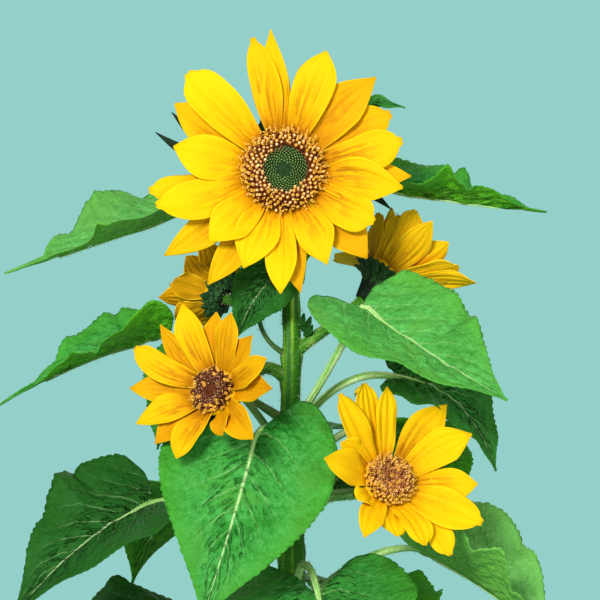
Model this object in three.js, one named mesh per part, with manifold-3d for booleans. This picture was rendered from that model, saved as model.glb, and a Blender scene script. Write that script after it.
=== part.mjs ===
// A branching dwarf sunflower, rooted in the ground: one main stem with a large head at its top,
// four side heads on branches of their own, and heart-shaped leaves on long stalks all round.
// Millimetres, +Z up. The origin is the middle of the flat cut under the stem, at ground level,
// and the front of the plant, where the large head looks, is -Y.
import * as THREE from "three";
import { mergeVertices } from "three/addons/utils/BufferGeometryUtils.js";
import Module from "manifold-3d";

const wasm = await Module();
wasm.setup();

// Driving dimensions: the stem, the side branches and the leaf stalks
const CLEARANCE = 0.3; // between a piece and the piece that carries it
const FLARE_WIDTH = 6; // how far the root flare stands out at the cut
const FLARE_HEIGHT = 13; // height over which the flare dies away
const NECK_RADIUS = 4.6; // a cup's foot, where its stem or branch meets it
const NECK_RUN = 8; // the stem's last straight run, behind the large head
const BRANCH_RADIUS = 3.8; // a side branch where it leaves the stem
const BRANCH_TIP_RADIUS = 3;
const BRANCH_RUN = 26; // how far behind its head a side branch starts to turn into it
const STALK_RADIUS = 2.3; // a leaf's stalk where it leaves the stem
const RIB_TIP_RADIUS = 0.9; // the same stalk's end, under the blade
const RIB_SHARE = 0.2; // how far along the blade the stalk runs on as its rib
const RIB_DROP = 1; // how far under the blade's middle the rib lies

// Driving dimensions: a leaf's blade, in shares of its length and of its full width
const LEAF_THICK = 1.5;
const WIDEST_AT = 0.22; // where along it the blade is widest
const SINUS_NARROWER = 0.22; // how much narrower it is at its sinus, where the stalk meets it
const LEAF_POINT = 0.02; // its width at the tip
const LEAF_TAPER = 1.25; // the higher, the longer the point that it runs out in
const LEAF_TAIL = 0.35; // how fast the thin tail that some leaves end in widens from it
const EVEN_LOBES = [1, 1]; // a leaf's left and right lobes, in full reaches
const LOBE_REACH = 0.24; // how far the two lobes reach back behind the sinus
const LOBES_END = 0.35; // how far along the blade the lobes die away
const LOBE_ROUND = 0.84; // how far the lobe's arch comes down again towards the margin

// Driving dimensions: a head's rays and bracts, and their ring, disc and cup
const RAY_THICK = 1.1;
const RAY_POINT = 0.04; // a ray's width at its tip, as a share of its full width
const RAY_FOOT = 0.4; // and at its root
const RAY_WIDEST_AT = 0.56; // along it
const RAY_ANGLE = 1.6; // over 1 rounds its sides as they near the tip
const RAY_FOLD = 3; // how far a ray's halves are folded up, in degrees
const RAY_ARCH = 0.03; // how far a ray bows out of its straight line, in ray lengths
const RAY_LAYERS = [0.7, 2.5]; // how far below the ring's top the rays are rooted, in turn
const RING_THICK = 3.2; // the ring that the rays grow from
const RING_INSIDE = 0.6; // its radii and that of the rays' roots, in disc radii
const RING_OUTSIDE = 0.97;
const RAY_ROOT = 0.9;
const DISC_SEAT = 2.2; // how far the disc's foot lies behind its rim
const DISC_SEAT_RADIUS = 0.8; // in disc radii
const CUP_RIM = 0.8; // the cup's rim and waist, in disc radii, and the height of the waist
const CUP_WAIST = 0.55;
const CUP_WAIST_HEIGHT = 0.45;
const CUP_RIM_HEIGHT = 1.5;
const BRACTS = 9;
const BRACT_THICK = 1.2;
const BRACT_WIDE = 0.36; // in disc radii, as are the bracts' roots and their tips, in turn
const BRACT_ROOT = 0.6;
const BRACT_REACH = [1.45, 1.25, 1.6];
const BRACT_DROP = 2; // how far the bracts lie below the cup's top
const LONG_BRACT_WIDE = 8;

// The disc's profile in disc radii, radius and height: its rim, the standing ring of open
// florets, and the lower middle where the buds are still shut.
const DISC_PROFILE = [
  [1, 0.02],
  [0.93, 0.17],
  [0.72, 0.24],
  [0.5, 0.16],
  [0, 0.12],
];

// How finely the round and bent shapes are cut
const STEM_SIDES = 12;
const STEM_STEPS = 20;
const STEM_SAMPLES = 800;
const STALK_SIDES = 5;
const STALK_STEPS = 6;
const BRANCH_SIDES = 8;
const BRANCH_STEPS = 8;
const LEAF_COLUMNS = 4;
const LEAF_ROWS = 5;
const RAY_COLUMNS = 2;
const RAY_ROWS = 3;
const BRACT_ROWS = 2;
const DISC_SEGMENTS = 14;
const MERGE_WITHIN = 1e-3;

// The stem's radius at these heights: it thins most where it branches.
const STEM_RADII = [
  [0, 11],
  [300, 7.8],
  [372, 5.6],
  [520, 4.6],
];

// The stem's middle line, from the cut to where its neck turns forward into the large head.
const STEM_LINE = [
  [0, 0, 0],
  [0, 0, 12],
  [0, 0, 40],
  [0, 0, 110],
  [0, 1, 190],
  [1, 1, 270],
  [-1, 2, 340],
  [1, 3, 405],
  [0, 8, 452],
  [-2, 12, 482],
  [-4, 5, 505],
];

// The leaves that show from the front. Each stalk leaves the stem's middle line at the height
// joins, bends by way of via and meets the blade at base. The midrib runs by way of bend to tip.
// The upper face looks towards face. wide is the blade's full width, and left and right say how
// far each half is folded up from flat, in degrees, seen from above with the tip ahead. Some rows
// have a taper or lobes of their own, or a body that ends at that share of the length.
const SHOWING_LEAVES = [
  {
    name: "leaf_top_left",
    joins: 462,
    via: [-30, 22, 490],
    base: [-66, 18, 490],
    bend: [-112, 10, 474],
    tip: [-171, -4, 454],
    face: [0, 0, 1],
    wide: 80,
    left: 12,
    right: 40,
    taper: 0.7,
    body: 0.8,
  },
  {
    name: "leaf_top_right",
    joins: 470,
    via: [26, 26, 500],
    base: [50, 20, 506],
    bend: [104, 10, 497],
    tip: [154, 0, 491],
    face: [0, 0, 1],
    wide: 64,
    left: 38,
    right: 30,
    taper: 1,
    body: 0.92,
  },
  {
    name: "leaf_top_small",
    joins: 484,
    via: [6, 36, 528],
    base: [16, 40, 540],
    bend: [44, 42, 564],
    tip: [70, 40, 555],
    face: [-0.1, -0.3, 0.95],
    wide: 42,
    left: 8,
    right: 8,
  },
  {
    name: "leaf_left_middle",
    joins: 364,
    via: [-40, 18, 388],
    base: [-77, 6, 416],
    bend: [-124, 0, 406],
    tip: [-174, -14, 375],
    face: [0, 0, 1],
    wide: 70,
    left: 14,
    right: 36,
    taper: 0.9,
    body: 0.8,
    lobes: [0.3, 0.1],
  },
  {
    name: "leaf_right_high",
    joins: 358,
    via: [22, -20, 392],
    base: [43, -36, 434],
    bend: [84, -78, 405],
    tip: [126, -104, 380],
    face: [0.1, -0.65, 0.75],
    wide: 86,
    left: 10,
    right: 14,
    lobes: [0.3, 0.75],
  },
  {
    name: "leaf_right_middle",
    joins: 352,
    via: [28, 0, 400],
    base: [64, 0, 392],
    bend: [106, -4, 390],
    tip: [123, -18, 336],
    face: [0.35, -0.6, 0.7],
    wide: 66,
    left: 12,
    right: 14,
    lobes: [0.4, 0.4],
  },
  {
    name: "leaf_front_large",
    joins: 340,
    via: [-8, -30, 372],
    base: [-20, -46, 358],
    bend: [-30, -84, 318],
    tip: [-52, -78, 249],
    face: [0, -0.92, 0.38],
    wide: 104,
    left: 6,
    right: 4,
    lobes: [1.05, 0.55],
  },
  {
    name: "leaf_left_low",
    joins: 252,
    via: [-40, -4, 328],
    base: [-82, -12, 317],
    bend: [-120, -36, 305],
    tip: [-165, -44, 250],
    face: [-0.35, -0.75, 0.55],
    wide: 98,
    left: 26,
    right: 8,
    lobes: [0.4, 0.3],
  },
  {
    name: "leaf_left_foot",
    joins: 216,
    via: [-24, 4, 262],
    base: [-82, 10, 246],
    bend: [-118, 8, 262],
    tip: [-144, 4, 202],
    face: [-0.2, -0.3, 0.93],
    wide: 80,
    left: 4,
    right: 8,
  },
  {
    name: "leaf_front_low",
    joins: 240,
    via: [6, -24, 308],
    base: [17, -42, 263],
    bend: [20, -88, 238],
    tip: [24, -120, 182],
    face: [0, -0.5, 0.86],
    wide: 118,
    left: 20,
    right: 8,
  },
  {
    name: "leaf_right_low",
    joins: 246,
    via: [40, -2, 292],
    base: [76, -6, 289],
    bend: [122, -22, 268],
    tip: [158, -34, 232],
    face: [0.3, -0.6, 0.74],
    wide: 100,
    left: 18,
    right: 65,
  },
  {
    name: "leaf_under_head",
    joins: 402,
    via: [-34, -6, 422],
    base: [-6, -8, 456],
    bend: [-24, -20, 440],
    tip: [-32, -17, 415],
    face: [0, -0.95, 0.3],
    wide: 36,
    left: 4,
    right: 4,
  },
  {
    name: "leaf_behind_left",
    joins: 340,
    via: [-30, 6, 392],
    base: [-56, -8, 400],
    bend: [-72, -20, 386],
    tip: [-79, -22, 349],
    face: [-0.1, -0.85, 0.5],
    wide: 46,
    left: 6,
    right: 8,
  },
  {
    name: "leaf_behind_right",
    joins: 286,
    via: [12, 16, 318],
    base: [30, 24, 330],
    bend: [68, 30, 350],
    tip: [104, 24, 341],
    face: [0.1, -0.35, 0.93],
    wide: 52,
    left: 6,
    right: 6,
  },
];

// The leaves behind the stem and below the view all arch out by one rule. turn is the way that a
// leaf points, in degrees from +X towards +Y, joins is the height where its stalk leaves the
// stem, and reach is how far out its tip comes.
const ARCHED_LEAVES = [
  { name: "leaf_back_top", turn: 88, joins: 474, reach: 132 },
  { name: "leaf_back_right", turn: 46, joins: 320, reach: 150 },
  { name: "leaf_back_left", turn: 131, joins: 286, reach: 150 },
  { name: "leaf_back_middle", turn: 61, joins: 226, reach: 152 },
  { name: "leaf_foot_right", turn: -27, joins: 172, reach: 164 },
  { name: "leaf_foot_back_left", turn: 138, joins: 190, reach: 166 },
  { name: "leaf_foot_back_right", turn: 54, joins: 146, reach: 166 },
  { name: "leaf_foot_left", turn: 198, joins: 124, reach: 157 },
  { name: "leaf_foot_front", turn: -75, joins: 102, reach: 148 },
];
const ARCH_VIA = [0.26, 46]; // the points of the arch: share of the reach, and rise above joins
const ARCH_BASE = [0.45, 38];
const ARCH_BEND = [0.83, 36];
const ARCH_TIP = [1, -24];
const ARCH_FACE = [0.33, 0.93]; // how much its upper face looks outwards, and upwards
const ARCH_WIDE = 0.61; // the blade's width, in reaches
const ARCH_FOLD = 8;

// Each side branch leaves the stem's middle line at the height joins and arches by way of via to
// the back of its head.
// Each head: centre is the middle of its disc, facing is where it looks, radius is the disc's
// and depth is that of the green cup behind it. The rays are rows of turn (degrees, from the
// head's own right towards its top), reach (from the disc's middle to the tip, in the disc's
// plane), width, and rise (of the tip, out of that plane). They are rooted in an upper layer and
// a lower one, in turn. Long bracts are rows of turn and reach.
const HEADS = [
  {
    name: "main",
    centre: [-4, -34, 515],
    facing: [0, -0.985, 0.17],
    radius: 26,
    depth: 16,
    rays: [
      [135, 81, 26, 9],
      [103, 82, 18, 4],
      [70, 75, 25, 8],
      [95, 84, 19, 6],
      [13, 73, 24, 9],
      [45, 78, 27, 5],
      [-10, 72, 27, 8],
      [28, 73, 24, 1],
      [-32, 64, 23, 10],
      [-3, 76, 22, 3],
      [-66, 64, 23, 9],
      [-47, 73, 25, 3],
      [-91, 76, 19, 8],
      [-82, 75, 19, 3],
      [-111, 65, 27, 10],
      [-123, 82, 20, 0],
      [-134, 63, 26, 10],
      [-144, 87, 21, -2],
      [-163, 79, 25, 8],
      [-171, 81, 20, 2],
      [169, 66, 27, 9],
      [148, 76, 23, 1],
    ],
    longBracts: [
      [162, 80],
      [151, 76],
      [-19, 68],
    ],
  },
  {
    name: "left",
    joins: 388,
    via: [-24, 10, 414],
    centre: [-46, -60, 385],
    facing: [-0.5, -0.82, 0.28],
    radius: 14.5,
    depth: 12,
    rays: [
      [156, 56, 16, 12],
      [135, 53, 17, 8],
      [114, 54, 18, 13],
      [92, 46, 17, 7],
      [72, 46, 17, 13],
      [48, 42, 15, 8],
      [21, 45, 16, 13],
      [-1, 47, 18, 8],
      [-38, 52, 18, 12],
      [-60, 34, 14, 8],
      [-101, 46, 18, 12],
      [-128, 45, 17, 8],
      [-150, 48, 18, 12],
      [-178, 52, 18, 8],
    ],
    longBracts: [],
  },
  {
    name: "right",
    joins: 304,
    via: [20, 8, 330],
    centre: [59, -54, 332],
    facing: [0.36, -0.85, 0.38],
    radius: 16,
    depth: 13,
    rays: [
      [120, 58, 16, 13],
      [101, 59, 16, 9],
      [88, 54, 14, 13],
      [47, 60, 22, 9],
      [24, 56, 22, 14],
      [-8, 52, 24, 9],
      [-34, 59, 26, 13],
      [-62, 58, 17, 9],
      [-78, 47, 18, 13],
      [-98, 39, 17, 9],
      [-125, 48, 17, 12],
      [-152, 30, 14, 8],
      [168, 46, 22, 13],
      [146, 38, 15, 8],
    ],
    longBracts: [],
  },
  {
    name: "high",
    joins: 404,
    via: [12, 4, 416],
    centre: [60, 22, 455],
    facing: [0.65, 0.4, 0.65],
    radius: 15,
    depth: 26,
    rays: [
      [8, 57, 18, 2],
      [32, 36, 18, 16],
      [58, 33, 17, 22],
      [80, 31, 18, 20],
      [100, 31, 17, 24],
      [120, 32, 18, 20],
      [137, 42, 17, 24],
      [154, 51, 18, 20],
      [175, 43, 17, 22],
      [-166, 46, 20, 18],
      [-150, 52, 17, 22],
      [-117, 47, 18, 15],
      [-86, 46, 18, 17],
      [-60, 46, 18, 14],
      [-36, 48, 18, 12],
      [-13, 50, 18, 10],
    ],
    longBracts: [],
  },
  {
    name: "low",
    joins: 448,
    via: [-14, 16, 460],
    centre: [-47, 2, 443],
    facing: [-0.7, 0.62, 0.35],
    radius: 12,
    depth: 12,
    rays: [
      [42, 29, 17, 9],
      [10, 30, 17, 6],
      [-12, 35, 16, 9],
      [-42, 28, 16, 6],
      [-78, 27, 17, 9],
      [-114, 28, 16, 6],
      [-148, 32, 17, 9],
      [-178, 33, 17, 6],
      [148, 32, 17, 9],
      [112, 30, 16, 6],
      [76, 29, 17, 9],
    ],
    longBracts: [],
  },
];

const material = (color, roughness) =>
  new THREE.MeshStandardMaterial({ color, roughness, metalness: 0 });
const stemGreen = () => material("#4e9a3a", 0.7);
const leafGreen = () => material("#3fa045", 0.6);
const cupGreen = () => material("#1e4a22", 0.75);
const rayYellow = () => material("#fcd90a", 0.6);
const discBrown = () => material("#6b3a16", 0.9);

const sunflower = new THREE.Group();

const vector = ([x, y, z]) => new THREE.Vector3(x, y, z);
const between = THREE.MathUtils.lerp;
const radians = THREE.MathUtils.degToRad;

// A closed solid from a geometry whose faces share their edges.
function solidFrom(geometry) {
  geometry.deleteAttribute("normal");
  geometry.deleteAttribute("uv");
  const merged = mergeVertices(geometry, MERGE_WITHIN);
  return new wasm.Manifold(
    new wasm.Mesh({
      numProp: 3,
      vertProperties: merged.attributes.position.array,
      triVerts: new Uint32Array(merged.index.array),
    }),
  );
}

// Adds a solid to the plant, or to a head, as a named mesh.
function addPiece(name, solid, look, home = sunflower) {
  const { vertProperties, triVerts } = solid.getMesh();
  const geometry = new THREE.BufferGeometry();
  geometry.setAttribute("position", new THREE.BufferAttribute(vertProperties, 3));
  geometry.setIndex(new THREE.BufferAttribute(triVerts, 1));
  geometry.computeVertexNormals();
  const mesh = new THREE.Mesh(geometry, look);
  mesh.name = name;
  home.add(mesh);
}

// Moves each corner of a geometry to where place puts it.
function reshape(geometry, place) {
  const corners = geometry.attributes.position;
  for (let i = 0; i < corners.count; i += 1) {
    const moved = place(new THREE.Vector3().fromBufferAttribute(corners, i));
    corners.setXYZ(i, moved.x, moved.y, moved.z);
  }
  return geometry;
}

// A round tapering limb: a cylinder bent along a curve, its rings carried on without twisting.
function limb(curve, radiusAt, sides, steps) {
  const rings = [];
  const turn = new THREE.Quaternion();
  let along = curve.getTangent(0);
  let side = new THREE.Vector3(1, 0, 0).addScaledVector(along, -along.x).normalize();
  for (let step = 0; step <= steps; step += 1) {
    const share = step / steps;
    const ahead = curve.getTangent(share);
    turn.setFromUnitVectors(along, ahead);
    side = side.clone().applyQuaternion(turn);
    along = ahead;
    rings.push({
      point: curve.getPoint(share),
      side,
      front: side.clone().cross(along),
      radius: radiusAt(share),
    });
  }
  const tube = new THREE.CylinderGeometry(1, 1, 1, sides, steps);
  return reshape(tube, (corner) => {
    const ring = rings[Math.round((corner.y + 0.5) * steps)];
    return ring.point
      .clone()
      .addScaledVector(ring.side, corner.x * ring.radius)
      .addScaledVector(ring.front, corner.z * ring.radius);
  });
}

// A thin blade: a flat box bent along a midrib. outline gives the share of the full width at each
// share of the length, and lobes how far back the blade reaches there for each share across.
function blade({ midrib, face, width, outline, lobes, left, right, thick, columns, rows }) {
  const flat = new THREE.BoxGeometry(2, 1, 1, columns, rows, 1);
  return reshape(flat, (corner) => {
    const share = corner.y + 0.5;
    const ahead = midrib.getTangent(share);
    const across = ahead.clone().cross(face).normalize();
    const above = across.clone().cross(ahead);
    const fold = radians(corner.x > 0 ? right : left);
    const out = (width / 2) * outline(share) * corner.x;
    return midrib
      .getPoint(share)
      .addScaledVector(ahead, -lobes(share, corner.x))
      .addScaledVector(across, out * Math.cos(fold))
      .addScaledVector(above, Math.abs(out) * Math.sin(fold) + corner.z * thick);
  });
}

// A point behind the middle of a head's cup, where its stem or branch comes up to it.
function neckOf(head, back) {
  const facing = vector(head.facing).normalize();
  return vector(head.centre).addScaledVector(facing, -head.depth - back);
}

// The stem's middle line ends square behind the large head's cup.
const mainHead = HEADS[0];
const stemLine = new THREE.CatmullRomCurve3([
  ...STEM_LINE.map(vector),
  neckOf(mainHead, NECK_RUN),
  neckOf(mainHead, CLEARANCE),
]);

// The stem tapers from its foot to its neck and flares out towards the cut.
function stemRadius(share) {
  const { z } = stemLine.getPoint(share);
  const next = Math.max(1, STEM_RADII.findIndex(([height]) => height >= z));
  const [[low, lowRadius], [high, highRadius]] = STEM_RADII.slice(next - 1);
  const taper = between(lowRadius, highRadius, (z - low) / (high - low));
  return taper + FLARE_WIDTH * Math.exp(-z / FLARE_HEIGHT);
}

const stemPoints = stemLine.getPoints(STEM_SAMPLES);
const stemPointAt = (height) => stemPoints.find((point) => point.z >= height);

// What each stalk and branch is cut back with, so that it ends just clear of the stem.
const stemRoom = solidFrom(
  limb(stemLine, (share) => stemRadius(share) + CLEARANCE, STEM_SIDES, STEM_STEPS),
);

function addStem() {
  addPiece(
    "main_stem",
    solidFrom(limb(stemLine, stemRadius, STEM_SIDES, STEM_STEPS)),
    stemGreen(),
  );
}

// A leaf blade is widest a little ahead of its sinus and runs out in a point. Where its body ends
// before the tip, a thin tail goes on.
function leafOutline({ taper = LEAF_TAPER, body = 1 }) {
  return (share) => {
    if (share < WIDEST_AT) return 1 - SINUS_NARROWER * (1 - share / WIDEST_AT) ** 2;
    const towardsEnd = Math.min(1, (share - WIDEST_AT) / (body - WIDEST_AT));
    const narrowing = Math.cos((Math.PI / 2) * towardsEnd) ** taper;
    return Math.max(narrowing, LEAF_POINT + LEAF_TAIL * (1 - share));
  };
}

// Its two round lobes reach back beside the stalk and die away along the blade.
function leafLobe(length, [left, right]) {
  return (share, across) => {
    const reach = LOBE_REACH * length * (across > 0 ? right : left);
    const fading = Math.max(0, 1 - share / LOBES_END) ** 2;
    return reach * fading * Math.sin(LOBE_ROUND * Math.PI * Math.abs(across));
  };
}

// The row of a leaf that arches out by the common rule.
function archedLeaf({ name, turn, joins, reach }) {
  const angle = radians(turn);
  const at = (out, up) => [out * Math.cos(angle), out * Math.sin(angle), up];
  const along = ([share, rise]) => at(share * reach, joins + rise);
  return {
    name,
    joins,
    via: along(ARCH_VIA),
    base: along(ARCH_BASE),
    bend: along(ARCH_BEND),
    tip: along(ARCH_TIP),
    face: at(...ARCH_FACE),
    wide: ARCH_WIDE * reach,
    left: ARCH_FOLD,
    right: ARCH_FOLD,
  };
}

// A leaf: its stalk runs on under the blade as a rib, so the two are one piece.
function addLeaf(leaf) {
  const [via, base, bend, tip] = [leaf.via, leaf.base, leaf.bend, leaf.tip].map(vector);
  const stalk = new THREE.QuadraticBezierCurve3(stemPointAt(leaf.joins), via, base);
  const midrib = new THREE.QuadraticBezierCurve3(base, bend, tip);
  const face = vector(leaf.face);
  const ribPoints = [RIB_SHARE / 2, RIB_SHARE].map((share) =>
    midrib.getPoint(share).addScaledVector(face, -RIB_DROP),
  );
  const stalkAndRib = new THREE.CatmullRomCurve3([...stalk.getPoints(4), ...ribPoints]);
  const stalkRadius = (share) => between(STALK_RADIUS, RIB_TIP_RADIUS, share);
  const solid = solidFrom(limb(stalkAndRib, stalkRadius, STALK_SIDES, STALK_STEPS)).add(
    solidFrom(
      blade({
        midrib,
        face,
        width: leaf.wide,
        outline: leafOutline(leaf),
        lobes: leafLobe(midrib.getLength(), leaf.lobes ?? EVEN_LOBES),
        left: leaf.left,
        right: leaf.right,
        thick: LEAF_THICK,
        columns: LEAF_COLUMNS,
        rows: LEAF_ROWS,
      }),
    ),
  );
  addPiece(leaf.name, solid.subtract(stemRoom), leafGreen());
}

// A side branch arches from the stem to the back of its head, where it ends square.
function addBranch(head) {
  const line = new THREE.CubicBezierCurve3(
    stemPointAt(head.joins),
    vector(head.via),
    neckOf(head, BRANCH_RUN),
    neckOf(head, CLEARANCE),
  );
  const radius = (share) => between(BRANCH_RADIUS, BRANCH_TIP_RADIUS, share);
  const solid = solidFrom(limb(line, radius, BRANCH_SIDES, BRANCH_STEPS));
  addPiece(`${head.name}_branch`, solid.subtract(stemRoom), stemGreen());
}

// The heads are made in their own frame: +X to the head's right, +Y to its top, +Z out of it.
function headFrame(head) {
  const out = vector(head.facing).normalize();
  const right = new THREE.Vector3(0, 0, 1).cross(out).normalize();
  const up = out.clone().cross(right);
  const frame = new THREE.Group();
  frame.position.fromArray(head.centre);
  frame.quaternion.setFromRotationMatrix(new THREE.Matrix4().makeBasis(right, up, out));
  return frame;
}

// A turned shape about the head's own axis, from rows of radius and height.
function turned(profile) {
  const points = profile.map(([radius, height]) => new THREE.Vector2(radius, height));
  return solidFrom(new THREE.LatheGeometry(points, DISC_SEGMENTS).rotateX(Math.PI / 2));
}

// A ray is broadest a little past its middle and ends in an angular point, and so does a bract.
function rayOutline(share) {
  if (share < RAY_WIDEST_AT) {
    return RAY_FOOT + (1 - RAY_FOOT) * Math.sin((Math.PI / 2) * (share / RAY_WIDEST_AT));
  }
  const towardsTip = (share - RAY_WIDEST_AT) / (1 - RAY_WIDEST_AT);
  return Math.max(RAY_POINT, 1 - towardsTip ** RAY_ANGLE);
}

// A blade that stands out from the head's axis at a turn, from its root to its tip, each given as
// radius and height, and bowed by arch.
function spoke({ turn, root, tip, arch, width, thick, rows }) {
  const angle = radians(turn);
  const at = ([radius, height]) =>
    new THREE.Vector3(radius * Math.cos(angle), radius * Math.sin(angle), height);
  const middle = [(root[0] + tip[0]) / 2, (root[1] + tip[1]) / 2 + arch];
  return solidFrom(
    blade({
      midrib: new THREE.QuadraticBezierCurve3(at(root), at(middle), at(tip)),
      face: new THREE.Vector3(0, 0, 1),
      width,
      outline: rayOutline,
      lobes: () => 0,
      left: RAY_FOLD,
      right: RAY_FOLD,
      thick,
      columns: RAY_COLUMNS,
      rows,
    }),
  );
}

// The disc: a low dome of florets, higher in its outer ring, on a seat that narrows below.
function discOf(radius) {
  return turned([
    [0, -DISC_SEAT],
    [radius * DISC_SEAT_RADIUS, -DISC_SEAT],
    ...DISC_PROFILE.map(([out, up]) => [radius * out, radius * up]),
  ]);
}

// The rays, all on one thin ring between the disc and the cup.
function raysOf({ radius, rays }, ringTop) {
  const [inside, outside] = [radius * RING_INSIDE, radius * RING_OUTSIDE];
  const ringBottom = ringTop - RING_THICK;
  const ring = turned([
    [inside, ringBottom],
    [outside, ringBottom],
    [outside, ringTop],
    [inside, ringTop],
    [inside, ringBottom],
  ]);
  return rays.reduce((solid, [turn, reach, width, rise], i) => {
    const root = [radius * RAY_ROOT, ringTop - RAY_LAYERS[i % RAY_LAYERS.length]];
    const arch = RAY_ARCH * (reach - radius);
    const tip = [reach, rise];
    return solid.add(spoke({ turn, root, tip, arch, width, thick: RAY_THICK, rows: RAY_ROWS }));
  }, ring);
}

// The cup: a green bowl on a short neck, with bracts standing out of it all round.
function cupOf({ radius, depth, longBracts }, cupTop) {
  const bowl = turned([
    [0, -depth],
    [NECK_RADIUS, -depth],
    [radius * CUP_WAIST, between(-depth, cupTop, CUP_WAIST_HEIGHT)],
    [radius * CUP_RIM, cupTop - CUP_RIM_HEIGHT],
    [radius * CUP_RIM, cupTop],
    [0, cupTop],
  ]);
  const evenBracts = Array.from({ length: BRACTS }, (_, i) => ({
    turn: (360 * (i + 0.5)) / BRACTS,
    reach: radius * BRACT_REACH[i % BRACT_REACH.length],
    width: radius * BRACT_WIDE,
  }));
  const extraBracts = longBracts.map(([turn, reach]) => ({ turn, reach, width: LONG_BRACT_WIDE }));
  return [...evenBracts, ...extraBracts].reduce((solid, { turn, reach, width }) => {
    const root = [radius * BRACT_ROOT, cupTop - BRACT_DROP];
    const tip = [reach, cupTop - BRACT_DROP];
    const shape = { turn, root, tip, arch: 0, width, thick: BRACT_THICK, rows: BRACT_ROWS };
    return solid.add(spoke(shape));
  }, bowl);
}

function addHead(head) {
  const frame = headFrame(head);
  const ringTop = -DISC_SEAT - CLEARANCE;
  const cupTop = ringTop - RING_THICK - CLEARANCE;
  addPiece(`${head.name}_disc`, discOf(head.radius), discBrown(), frame);
  addPiece(`${head.name}_rays`, raysOf(head, ringTop), rayYellow(), frame);
  addPiece(`${head.name}_cup`, cupOf(head, cupTop), cupGreen(), frame);
  sunflower.add(frame);
}

addStem();
SHOWING_LEAVES.forEach(addLeaf);
ARCHED_LEAVES.map(archedLeaf).forEach(addLeaf);
HEADS.filter((head) => head.joins).forEach(addBranch);
HEADS.forEach(addHead);

export default sunflower;
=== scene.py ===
"""A branching dwarf sunflower, rooted in the ground, dressed around its solid model.

One main stem carries the large head, four side branches carry smaller ones, and heart-shaped
leaves stand out on long stalks all round. Shapes are worked out in millimetres, as the plant is
measured, and each piece is turned to metres when it is finished. The front is -Y.
"""
import random
from math import atan2, copysign, cos, exp, hypot, pi, radians, sin, sqrt, tau

import bmesh
import bpy
from mathutils import Matrix, Vector, noise


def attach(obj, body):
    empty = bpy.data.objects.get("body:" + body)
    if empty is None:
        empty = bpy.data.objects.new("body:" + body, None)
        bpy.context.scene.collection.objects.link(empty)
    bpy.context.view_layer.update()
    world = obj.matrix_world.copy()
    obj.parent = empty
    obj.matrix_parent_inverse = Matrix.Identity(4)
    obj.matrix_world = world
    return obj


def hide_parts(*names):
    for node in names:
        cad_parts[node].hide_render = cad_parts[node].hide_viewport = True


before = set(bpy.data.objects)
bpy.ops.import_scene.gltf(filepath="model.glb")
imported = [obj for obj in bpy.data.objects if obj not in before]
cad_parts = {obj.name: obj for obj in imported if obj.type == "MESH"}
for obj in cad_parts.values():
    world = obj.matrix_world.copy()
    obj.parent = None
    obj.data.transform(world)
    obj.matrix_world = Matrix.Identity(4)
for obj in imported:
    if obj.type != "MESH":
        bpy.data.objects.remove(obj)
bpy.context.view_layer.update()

MM = 0.001
UP = Vector((0, 0, 1))

# The stem, its branches and the leaf stalks
CLEARANCE = 0.3
STEM_RADII = [(0, 11), (300, 7.8), (372, 5.6), (520, 4.6)]
FLARE_WIDTH = 6
FLARE_HEIGHT = 13
NECK_RADIUS = 4.6
NECK_RUN = 8
BRANCH_RADIUS = 3.8
BRANCH_TIP_RADIUS = 3
BRANCH_FOOT_SWELL = 1.2
BRANCH_RUN = 26
BRANCH_RIBS = 7
BRANCH_RIB_RELIEF = 0.15
STALK_RADIUS = 2.3
STALK_FOOT_SWELL = 1.1
STALK_POINTS = 4
RIB_TIP_RADIUS = 0.5
RIB_SHARE = 0.72
RIB_DROP = 1.5
STEM_RIBS = 9
RIB_RELIEF = 0.35
KNOT_SWELL = 1.4
KNOT_HEIGHT = 5
SKIN_ROUGHNESS = 0.35
# How many hairs each has, and how long they are
STEM_HAIRS = (3000, 2.6)
BRANCH_HAIRS = (500, 1.8)
STALK_HAIRS = (280, 1.8)
HAIR_LEAN = 0.4
HAIRLESS_FOOT = 6

# A leaf's blade, in shares of its length and of its full width
LEAF_THICK = 0.55
WIDEST_AT = 0.22
SINUS_NARROWER = 0.22
LEAF_POINT = 0.02
LEAF_TAPER = 1.25
LEAF_TAIL = 0.35
LOBE_REACH = 0.24
LOBES_END = 0.35
LOBE_ROUND = 0.84
VEINS = 8
VEIN_RISE = 0.36
VEIN_BEND = 0.85
QUILT = 1.8
PUCKER = 1.5
BROAD_WAVE = 3
MIDRIB_DIP = 1
TOOTH_DEPTH = 1.7
ROWS_PER_TOOTH = 3
MARGIN_WAVE = 2.2
MARGIN_CURL = 11

# A head's rays, bracts, ring, disc and cup
RAY_THICK = 0.45
RAY_POINT = 0.04
RAY_FOOT = 0.4
RAY_WIDEST_AT = 0.56
RAY_ANGLE = 1.6
BLUNT_POINT = 0.22
BLUNT_ANGLES = (2.8, 4)
PLEAT = 0.6
PLEATS = (1.1, 2.3)
RAY_ARCH = 0.03
RAY_LAYERS = [0.7, 2.5]
# How much painted shade turns more golden the rays of the lower layer, which lie under the upper
# ones, and those on the side away from the light
LOWER_LAYER_PAINTED_SHADE = 0.4
AWAY_SIDE_PAINTED_SHADE = 0.3
RING_THICK = 3.2
RING_INSIDE = 0.6
RING_OUTSIDE = 0.97
RAY_ROOT = 0.86
DISC_SEAT = 2.2
CUP_RIM = 0.8
CUP_WAIST = 0.55
CUP_WAIST_HEIGHT = 0.45
# The layers of bracts: how far out they reach and how far down they start, and their width
BRACT_LAYERS = [(1.42, 2, 1), (1.2, 3.5, 0.9), (0.95, 5, 0.8)]
BRACTS = 13
BRACT_WIDE = 0.42
BRACT_THICK = 0.5
BRACT_ARCH = -1.5
LONG_BRACT_DROP = 2
LONG_BRACT_WIDE = 8
LONG_BRACT_ARCH = 1
LONG_BRACT_SWAY = -7

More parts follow.
